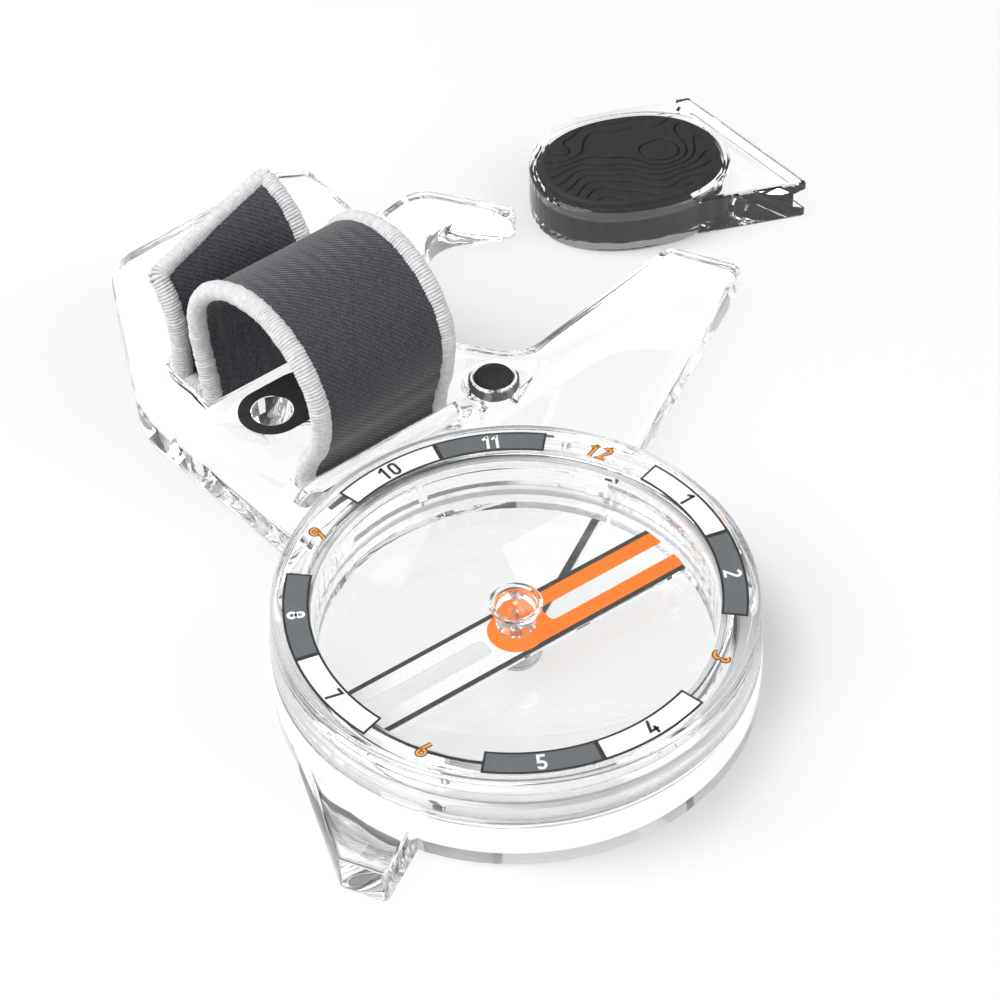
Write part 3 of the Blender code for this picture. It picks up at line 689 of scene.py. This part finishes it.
def strap_point(width, step, route, tail):
    """Point on the strap's middle surface at a width and a step along it, in millimetres."""
    angle = radians(STRAP_ANGLE)
    along = Vector((cos(angle), sin(angle)))
    across = Vector((sin(angle), -cos(angle)))
    part = min(max(width / STRAP_WIDTH, 0.0), 1.0)
    if step < len(route):
        flat, height = route[step]
        lift = min(max((height - TAPER_START) / TAPER_RISE, 0.0), 1.0)
        flat -= TAPER * lift * max(flat, 0.0) * part
    else:
        reach = TAIL_NEAR + (TAIL_FAR - TAIL_NEAR) * part
        flat, height = along_path(tail, reach * (step - len(route) + 1) / TAIL_STEPS)
    place = Vector(STRAP_CORNER) + along * width + across * flat
    return Vector((place.x, place.y, height))


def strap_web():
    """Woven strap as one closed sheet, and its length along the middle."""
    route, tail = strap_lines()
    rows = len(route) + TAIL_STEPS
    columns = WEB_COLUMNS

    def width_at(col):
        return WEB_INSET + (STRAP_WIDTH - 2 * WEB_INSET) * col / columns

    grid = []
    for row in range(rows):
        grid.append([strap_point(width_at(col), row, route, tail) for col in range(columns + 1)])
    lengths = [0.0]
    for row in range(1, rows):
        lengths.append(lengths[-1] + (grid[row][columns // 2] - grid[row - 1][columns // 2]).length)
    bm = bmesh.new()
    layer = bm.loops.layers.uv.new("UVMap")
    sides = []
    for sign in (-1, 1):
        verts = []
        for row in range(rows):
            line = []
            for col in range(columns + 1):
                ahead = grid[min(row + 1, rows - 1)][col] - grid[max(row - 1, 0)][col]
                sideways = grid[row][min(col + 1, columns)] - grid[row][max(col - 1, 0)]
                normal = ahead.cross(sideways).normalized()
                line.append(bm.verts.new((grid[row][col] + normal * sign * WEB_HALF) * MM))
            verts.append(line)
        sides.append(verts)

    def place_uv(face, keys):
        for loop, (row, col) in zip(face.loops, keys):
            loop[layer].uv = (lengths[row], width_at(col))

    for side, verts in enumerate(sides):
        for row in range(rows - 1):
            for col in range(columns):
                keys = [(row, col), (row, col + 1), (row + 1, col + 1), (row + 1, col)]
                if side == 0:
                    keys.reverse()
                place_uv(bm.faces.new([verts[r][c] for r, c in keys]), keys)
    rim = [(0, c) for c in range(columns)] + [(r, columns) for r in range(rows - 1)]
    rim += [(rows - 1, c) for c in range(columns, 0, -1)] + [(r, 0) for r in range(rows - 1, 0, -1)]
    for k, key in enumerate(rim):
        after = rim[(k + 1) % len(rim)]
        face = bm.faces.new([sides[0][key[0]][key[1]], sides[1][key[0]][key[1]],
                             sides[1][after[0]][after[1]], sides[0][after[0]][after[1]]])
        place_uv(face, [key, key, after, after])
    bmesh.ops.recalc_face_normals(bm, faces=bm.faces)
    strap = from_bmesh("strap_web", bm, WEBBING, 60)
    finish_piece(strap, "base", ["thumb_strap"])
    return strap, lengths[-1]


def edge_routes():
    """Line that the stitched edging follows: the near edge, round the tail's end, and the far edge."""
    route, tail = strap_lines()
    rows = len(route) + TAIL_STEPS
    near = [strap_point(EDGE_INSET, row, route, tail) for row in range(rows)]
    far = [strap_point(STRAP_WIDTH - EDGE_INSET, row, route, tail) for row in range(rows - 1, -1, -1)]
    end = []
    for k in range(1, WEB_COLUMNS):
        width = EDGE_INSET + (STRAP_WIDTH - 2 * EDGE_INSET) * k / WEB_COLUMNS
        end.append(strap_point(width, rows - 1, route, tail))
    return near + end + far


def resample(points, spacing):
    """Points at an even spacing along a line."""
    out = [points[0].copy()]
    left = spacing
    for a, b in zip(points, points[1:]):
        length = (b - a).length
        done = 0.0
        while length - done >= left:
            done += left
            out.append(a.lerp(b, done / length))
            left = spacing
        left -= length - done
    return out


def tube(points, radius_at, sides, bm):
    """Closed tube round a line of points in millimetres, added to a bmesh."""
    rings = []
    normal = Vector((0, 0, 1))
    for i, point in enumerate(points):
        ahead = (points[min(i + 1, len(points) - 1)] - points[max(i - 1, 0)]).normalized()
        normal = normal - ahead * normal.dot(ahead)
        if normal.length < 1e-6:
            normal = ahead.orthogonal()
        normal.normalize()
        other = ahead.cross(normal)
        size = radius_at(i)
        ring = []
        for k in range(sides):
            a = 2 * pi * k / sides
            ring.append(bm.verts.new((point + (normal * cos(a) + other * sin(a)) * size) * MM))
        rings.append(ring)
    for a, b in zip(rings, rings[1:]):
        for k in range(sides):
            n = (k + 1) % sides
            bm.faces.new((a[k], a[n], b[n], b[k]))
    bm.faces.new(list(reversed(rings[0])))
    bm.faces.new(rings[-1])


def edge_frames():
    """Point, width direction and thickness direction at even steps along the edging."""
    route = resample(edge_routes(), EDGE_SPACING)
    last = len(route) - 1
    angle = radians(STRAP_ANGLE)
    width_way = Vector((cos(angle), sin(angle), 0))
    frames = []
    for i, point in enumerate(route):
        ahead = (route[min(i + EDGE_REACH, last)] - route[max(i - EDGE_REACH, 0)]).normalized()
        side = width_way - ahead * width_way.dot(ahead)
        if side.length < 0.45:
            side = Vector((0, 0, 1)) - ahead * ahead.z
        side.normalize()
        if frames and side.dot(frames[-1][1]) < 0:
            side.negate()
        if frames:
            side = frames[-1][1] * 0.8 + side * 0.2
            side = (side - ahead * side.dot(ahead)).normalized()
        frames.append((point, side, ahead.cross(side)))
    return frames


def strap_edging():
    """Overlock stitching: a soft core with one thread wound closely round it."""
    frames = edge_frames()
    bm = bmesh.new()
    tube([p for p, _, _ in frames[::4]], lambda i: EDGE_CORE, 12, bm)
    made = [from_bmesh("strap_edge_core", bm, THREAD, 60)]
    rng = random.Random(7)
    turns = len(frames) * EDGE_SPACING / WIND_PITCH
    wobble = [rng.uniform(-1, 1) for _ in range(int(turns) + 3)]
    line, sizes = [], []
    for k in range(int(turns * WIND_STEPS)):
        place = k / WIND_STEPS / turns * (len(frames) - 1)
        point, side, up = frames[int(place)]
        point = point.lerp(frames[min(int(place) + 1, len(frames) - 1)][0], place % 1)
        turn = k / WIND_STEPS
        swing = wobble[int(turn)] * (1 - turn % 1) + wobble[int(turn) + 1] * (turn % 1)
        a = 2 * pi * turn
        out = 1.0 + 0.05 * swing
        line.append(point + side * (cos(a) * WIND_WIDE * out) + up * (sin(a) * WIND_HIGH * out))
        sizes.append(THREAD_RADIUS * (1 + 0.1 * swing))
    bm = bmesh.new()
    tube(line, lambda i: sizes[i], 6, bm)
    made.append(from_bmesh("strap_edge_thread", bm, THREAD, 80))
    for obj in made:
        finish_piece(obj, "base")
    return made


# ------------------------------------------------------------------ thumb rest

HILLS = ((4.6, -0.4, 2.3, 1.15), (-2.0, 0.6, 1.9, 0.5), (-7.2, 2.6, 1.5, 0.62), (0.5, 5.5, 3.0, -0.55),
         (8.0, 4.5, 3.2, -0.4), (-4.0, -5.5, 3.4, -0.3))    # place, spread and height of each
PAD_RINGS = 110
PAD_SPOKES = 380
CONTOUR_STEP = 0.34             # height between two grooves of the made-up terrain
GROOVE_HALF = 0.16
GROOVE_DEPTH = 0.22
GROOVE_END = 0.91               # the grooves stop at this share of the pad's radius
PAD_CROWN = 0.25
PAD_ROUND = 0.7                 # drop of the pad's rounded rim, which starts at the next share
PAD_RIM = 0.94
PROBE = 0.05                    # distance over which the terrain's slope is taken
CORE_SPOKES = 160
CORE_TOP = 4.75
FLUTE = 0.22                    # depth of the core's flutes, each 4 spokes wide


def superellipse(a, b, t):
    x = a * abs(cos(t)) ** OVAL_POWER * (1 if cos(t) >= 0 else -1)
    y = b * abs(sin(t)) ** OVAL_POWER * (1 if sin(t) >= 0 else -1)
    return x, y


def rest_place():
    """From the cup's own directions to the row frame."""
    spin = Matrix.Rotation(radians(REST_ANGLE), 4, "Z")
    place = Matrix.Translation(Vector((*REST_CENTRE, 0)) * MM)
    shift = Matrix.Translation(Vector((*REST_CUP, 0)) * MM)
    return place @ spin @ shift


def relief(x, y):
    """Smooth made-up terrain whose level lines are the pad's grooves."""
    total = 0.19 * (y + 0.9 * sin(0.5 * x + 0.7) + 0.35 * sin(1.15 * x + 0.3 * y))
    for cx, cy, spread, height in HILLS:
        total += height * exp(-((x - cx) ** 2 + (y - cy) ** 2) / (2 * spread * spread))
    return total


def pad():
    """Domed rubber oval with engraved level lines."""
    low, high = node_box("rest_pad")
    half_a, half_b = PAD_AXES
    rings, spokes = PAD_RINGS, PAD_SPOKES
    bm = bmesh.new()
    groove_shades, grid = [], []
    for i in range(rings + 1):
        share = i / rings
        ring = []
        for k in range(spokes if i else 1):
            x, y = superellipse(half_a * share, half_b * share, 2 * pi * k / spokes)
            value = relief(x, y)
            slope = hypot(relief(x + PROBE, y) - value, relief(x, y + PROBE) - value) / PROBE
            level = value / CONTOUR_STEP
            away = abs(level - round(level)) * CONTOUR_STEP / max(slope, 0.03)
            groove = min(1.0, max(0.0, 1.6 - 1.6 * away / GROOVE_HALF)) if share < GROOVE_END else 0.0
            round_off = PAD_ROUND * max(0.0, (share - PAD_RIM) / (1 - PAD_RIM)) ** 2
            z = high.z - PAD_CROWN * share * share - round_off - GROOVE_DEPTH * groove
            ring.append(bm.verts.new((x * MM, y * MM, z * MM)))
            groove_shades.append(groove)
        grid.append(ring)
    skirt = []
    for k in range(spokes):
        x, y = superellipse(half_a, half_b, 2 * pi * k / spokes)
        skirt.append(bm.verts.new((x * MM, y * MM, low.z * MM)))
        groove_shades.append(0.0)
    for k in range(spokes):
        n = (k + 1) % spokes
        bm.faces.new((grid[0][0], grid[1][k], grid[1][n]))
        for i in range(1, rings):
            bm.faces.new((grid[i][k], grid[i + 1][k], grid[i + 1][n], grid[i][n]))
        bm.faces.new((grid[rings][k], skirt[k], skirt[n], grid[rings][n]))
    bm.faces.new(list(reversed(skirt)))
    bmesh.ops.recalc_face_normals(bm, faces=bm.faces)
    obj = from_bmesh("thumb_pad", bm, PAD, 60)
    # each groove's share is kept as a vertex colour for the painted shade in the grooves
    colors = obj.data.color_attributes.new("groove", "FLOAT_COLOR", "POINT")
    for element, groove_shade in zip(colors.data, groove_shades):
        element.color = (groove_shade, groove_shade, groove_shade, 1.0)
    obj.data.transform(rest_place())
    finish_piece(obj, "thumb_rest", ["rest_pad"])


def rest_filling():
    """Black fluted core set into the rest's clear wall, up to the pad."""
    low = node_box("rest_core")[0].z
    bm = bmesh.new()
    spokes = CORE_SPOKES
    rows = []
    for inset, z in ((0.5, low - 0.2), (0.0, low + 0.1), (0.0, CORE_TOP - 0.25), (0.4, CORE_TOP)):
        row = []
        for k in range(spokes):
            shrink = inset + FLUTE * (k % 8 > 3)
            x, y = superellipse(CORE_AXES[0] - shrink, CORE_AXES[1] - shrink, 2 * pi * k / spokes)
            row.append(bm.verts.new((x * MM, y * MM, z * MM)))
        rows.append(row)
    for lower, upper in zip(rows, rows[1:]):
        for k in range(spokes):
            n = (k + 1) % spokes
            bm.faces.new((lower[k], lower[n], upper[n], upper[k]))
    bm.faces.new(list(reversed(rows[0])))
    bm.faces.new(rows[-1])
    bmesh.ops.recalc_face_normals(bm, faces=bm.faces)
    obj = from_bmesh("rest_filling", bm, CORE_BLACK, 40)
    obj.data.transform(rest_place())
    finish_piece(obj, "thumb_rest", ["rest_core"])


# ------------------------------------------------------------------ stud, post and filler plug

def stud():
    """Domed rubber stud, and its greyer foot set into the clear cone."""
    top = node_box("rubber_stud")[1].z
    piece = turned("bonded_stud", [
        (0, top), (0.7, top - 0.02), (1.4, top - 0.12), (1.85, top - 0.28), (2.12, top - 0.55),
        (2.2, 5.95), (2.2, 5.7), (0, 5.7)], RUBBER, 96)
    foot = turned("stud_foot", [
        (0, 5.68), (2.3, 5.68), (2.45, 5.5), (2.5, 4.3), (2.45, 4.1), (0, 4.1)], STUD_SIDE, 96)
    for obj, nodes in ((piece, ["rubber_stud"]), (foot, [])):
        obj.data.transform(Matrix.Translation(Vector((*STUD, 0)) * MM))
        finish_piece(obj, "base", nodes)


def post():
    """Pivot post whose foot is set into the clear floor of the cup."""
    top = node_box("pivot_post")[1].z
    body = turned("post_body", [
        (0, top), (1.7, top), (1.95, top - 0.1), (2.1, top - 0.3), (2.45, 3.6), (2.6, 3.3), (2.6, 2.95),
        (2.5, 2.85), (0, 2.85)], POST, 96)
    finish_piece(body, "capsule", ["pivot_post"])


def plug():
    """Filler plug as a thin clear disc on the bezel's outside."""
    low, high = node_box("filler_plug")
    middle = (low + high) / 2
    outward = Vector((middle.x, middle.y, 0)).normalized()
    face = node_box("grip_bezel")[1].x + 0.06
    piece = turned("filler_disc", [
        (0, face), (0.7, face), (0.8, face - 0.02), (0.8, face - 0.04), (0, face - 0.04)], LENS, 64)
    piece.data.transform(outward.to_track_quat("Z", "Y").to_matrix().to_4x4())
    piece.data.transform(Matrix.Translation((0, 0, middle.z * MM)))
    finish_piece(piece, "capsule", ["filler_plug"])


# ------------------------------------------------------------------ plate joined to its collar

COLLAR_SINK = 4.5               # the collar reaches down into the plate to this height
CREASE = 42                     # the plate's edges are sharp above this angle, in degrees


def clear_base():
    """The plate and the retaining ring as one clear body, so that light passes from one to the other."""
    outer, top, bottom = COLLAR_HIGH.x, COLLAR_HIGH.z, COLLAR_LOW.z
    wall = POCKET_RADIUS + 0.05
    collar = turned("collar", [
        (COLLAR_INNER, top - 0.15), (COLLAR_INNER + 0.15, top), (outer - 0.55, top),
        (outer - 0.16, top - 0.16), (outer, top - 0.55), (outer, COLLAR_SINK),
        (wall, COLLAR_SINK), (wall, bottom), (COLLAR_INNER, bottom)], CLEAR, 160)
    base = add_object("clear_plate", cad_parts["baseplate"].data.copy(), CLEAR)
    join = base.modifiers.new("join", "BOOLEAN")
    join.object = collar
    join.operation = "UNION"
    join.solver = "EXACT"
    bpy.context.view_layer.update()
    graph = bpy.context.evaluated_depsgraph_get()
    mesh = bpy.data.meshes.new_from_object(base.evaluated_get(graph))
    base.modifiers.clear()
    base.data = mesh
    mesh.materials.clear()
    mesh.materials.append(CLEAR)
    for polygon in mesh.polygons:
        polygon.material_index = 0
    mesh.shade_smooth()
    mesh.set_sharp_from_angle(angle=radians(CREASE))
    bpy.data.objects.remove(collar)
    finish_piece(base, "base", ["baseplate", "retaining_ring"])


# ------------------------------------------------------------------ prints on the plate

PRINT_STEPS = 48
OVAL_RADIUS = 3.9
OVAL_STRETCH = 4.2              # the oval's far half lies this much further along the strap
HOLE_EDGE = 2.45
PLATE_PRINT_TOP = 5.26
PLATE_PRINT_THICK = 0.03


def hole_print():
    """Black printed oval round the lanyard hole."""
    outer, inner = [], []
    for k in range(PRINT_STEPS):
        a = 2 * pi * k / PRINT_STEPS
        stretch = OVAL_STRETCH if sin(a) > 0 else 0.0
        outer.append((OVAL_RADIUS * cos(a), OVAL_RADIUS * sin(a) + stretch))
        inner.append((HOLE_EDGE * cos(a), HOLE_EDGE * sin(a)))
    turn = Matrix.Rotation(radians(STRAP_ANGLE) - pi / 2, 3, "Z")
    bm = bmesh.new()
    rows = []
    for height in (PLATE_PRINT_TOP, PLATE_PRINT_TOP - PLATE_PRINT_THICK):
        for points in (outer, inner):
            rows.append([bm.verts.new((turn @ Vector((x, y, 0)) + Vector((*LANYARD_HOLE, height))) * MM)
                         for x, y in points])
    upper_out, upper_in, lower_out, lower_in = rows
    for k in range(PRINT_STEPS):
        n = (k + 1) % PRINT_STEPS
        bm.faces.new((upper_out[k], upper_out[n], upper_in[n], upper_in[k]))
        bm.faces.new((lower_out[n], lower_out[k], lower_in[k], lower_in[n]))
        bm.faces.new((upper_out[n], upper_out[k], lower_out[k], lower_out[n]))
        bm.faces.new((upper_in[k], upper_in[n], lower_in[n], lower_in[k]))
    bmesh.ops.recalc_face_normals(bm, faces=bm.faces)
    obj = from_bmesh("lanyard_hole_print", bm, BLACK_INK, 0)
    finish_piece(obj, "base")


# ------------------------------------------------------------------ carried-over nodes

def paint_nodes():
    """Give the CAD nodes that stay in the picture their materials."""
    paint = {
        "capsule_cup": CLEAR, "capsule_lens": LENS, "post_collar": LENS, "rest_plate": CLEAR,
        "drag_ring": DRAG, "direction_line_front": BLACK_INK, "direction_line_rear": BLACK_INK,
        "lens_seal": SEAL, "pivot_pin": STEEL, "ring_magnet": MAGNET,
    }
    for node, mat in paint.items():
        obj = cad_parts[node]
        obj.data.materials.clear()
        obj.data.materials.append(mat)
        for polygon in obj.data.polygons:
            polygon.material_index = 0


# ------------------------------------------------------------------ studio

WINDOWS = 3.0
BAND_TOP = 0.3                  # the windows end at this height of the sky
ROOM_START = 0.36
ROOM_LEVEL = 0.3


def sky():
    """Grey room with a dark band at the horizon that bright windows break up."""
    world = bpy.data.worlds.new("studio")
    bpy.context.scene.world = world
    world.use_nodes = True
    tree = world.node_tree
    back = tree.nodes["Background"]

    def node(kind, **values):
        made = tree.nodes.new(kind)
        for key, value in values.items():
            setattr(made, key, value)
        return made

    def ramp(source, stops):
        made = node("ShaderNodeValToRGB")
        elements = made.color_ramp.elements
        while len(elements) < len(stops):
            elements.new(0.5)
        for element, (position, level) in zip(elements, stops):
            element.position = position
            element.color = (level, level, level, 1.0)
        tree.links.new(source, made.inputs["Fac"])
        return made.outputs["Color"]

    split = node("ShaderNodeSeparateXYZ")
    tree.links.new(node("ShaderNodeTexCoord").outputs["Generated"], split.inputs["Vector"])
    turn = node("ShaderNodeMath", operation="ARCTAN2")
    tree.links.new(split.outputs["Y"], turn.inputs[0])
    tree.links.new(split.outputs["X"], turn.inputs[1])
    wave = node("ShaderNodeMath", operation="SINE")
    count = node("ShaderNodeMath", operation="MULTIPLY")
    count.inputs[1].default_value = WINDOWS
    tree.links.new(turn.outputs["Value"], count.inputs[0])
    tree.links.new(count.outputs["Value"], wave.inputs[0])
    window = ramp(wave.outputs["Value"], [(0.1, 0.0), (0.5, 1.0)])
    room = [(ROOM_START, ROOM_LEVEL), (1.0, ROOM_LEVEL)]
    bright = ramp(split.outputs["Z"], [(0.0, 0.9), (BAND_TOP, 1.0)] + room)
    dark = ramp(split.outputs["Z"], [(0.0, 0.05), (BAND_TOP, 0.1)] + room)
    mix = node("ShaderNodeMix", data_type="RGBA")
    tree.links.new(window, mix.inputs["Factor"])
    tree.links.new(dark, mix.inputs["A"])
    tree.links.new(bright, mix.inputs["B"])
    tree.links.new(mix.outputs["Result"], back.inputs["Color"])
    back.inputs["Strength"].default_value = 1.0


FLOOR_DROP = 0.0002             # metres


def studio():
    """Pale floor, two soft lamps and the sky."""
    bm = bmesh.new()
    bmesh.ops.create_grid(bm, x_segments=2, y_segments=2, size=3.0)
    floor = from_bmesh("floor", bm, floor_paper("floor paper"), 0)
    floor.location.z = -FLOOR_DROP
    for name, place, size, power in (("overhead", (-0.4, -0.35, 0.95), 1.1, 13.5),
                                     ("side", (1.1, 0.1, 0.7), 0.8, 4.5)):
        light = bpy.data.lights.new(name, "AREA")
        light.size = size
        light.energy = power
        lamp = bpy.data.objects.new(name, light)
        lamp.location = place
        lamp.rotation_euler = (Vector((0, 0.02, 0)) - Vector(place)).to_track_quat("-Z", "Y").to_euler()
        bpy.context.scene.collection.objects.link(lamp)
    sky()


def camera():
    """Camera at the studio's viewing angle, with a slight roll."""
    azimuth, elevation, roll = radians(24.745), radians(45.235), radians(-1.6)
    aim = Vector((-4.07, 5.72, 19.34)) * MM
    distance = 324.0 * MM
    back = Vector((sin(azimuth) * cos(elevation), -cos(azimuth) * cos(elevation), sin(elevation)))
    data = bpy.data.cameras.new("camera")
    data.lens = 113.4
    data.sensor_width = 36.0
    data.clip_start = 0.01
    data.clip_end = 20.0
    cam = bpy.data.objects.new("camera", data)
    bpy.context.scene.collection.objects.link(cam)
    cam.rotation_mode = "QUATERNION"
    cam.location = aim + back * distance
    look = (-back).to_track_quat("-Z", "Y")
    cam.rotation_quaternion = look @ Matrix.Rotation(roll, 3, "Z").to_quaternion()
    bpy.context.scene.camera = cam


def render_settings():
    """Enough bounces for light to get through the stacked clear pieces."""
    scene = bpy.context.scene
    scene.view_settings.view_transform = "Standard"
    scene.cycles.max_bounces = 32
    scene.cycles.transmission_bounces = 28
    scene.cycles.glossy_bounces = 28
    scene.cycles.transparent_max_bounces = 40
    scene.cycles.sample_clamp_indirect = 6.0


camera()
paint_nodes()
clear_base()
rest_filling()
stud()
plug()
post()
hour_ring()
bezel()
needle()
strap, strap_length = strap_web()
edging = strap_edging()
pad()
hole_print()
studio()
render_settings()
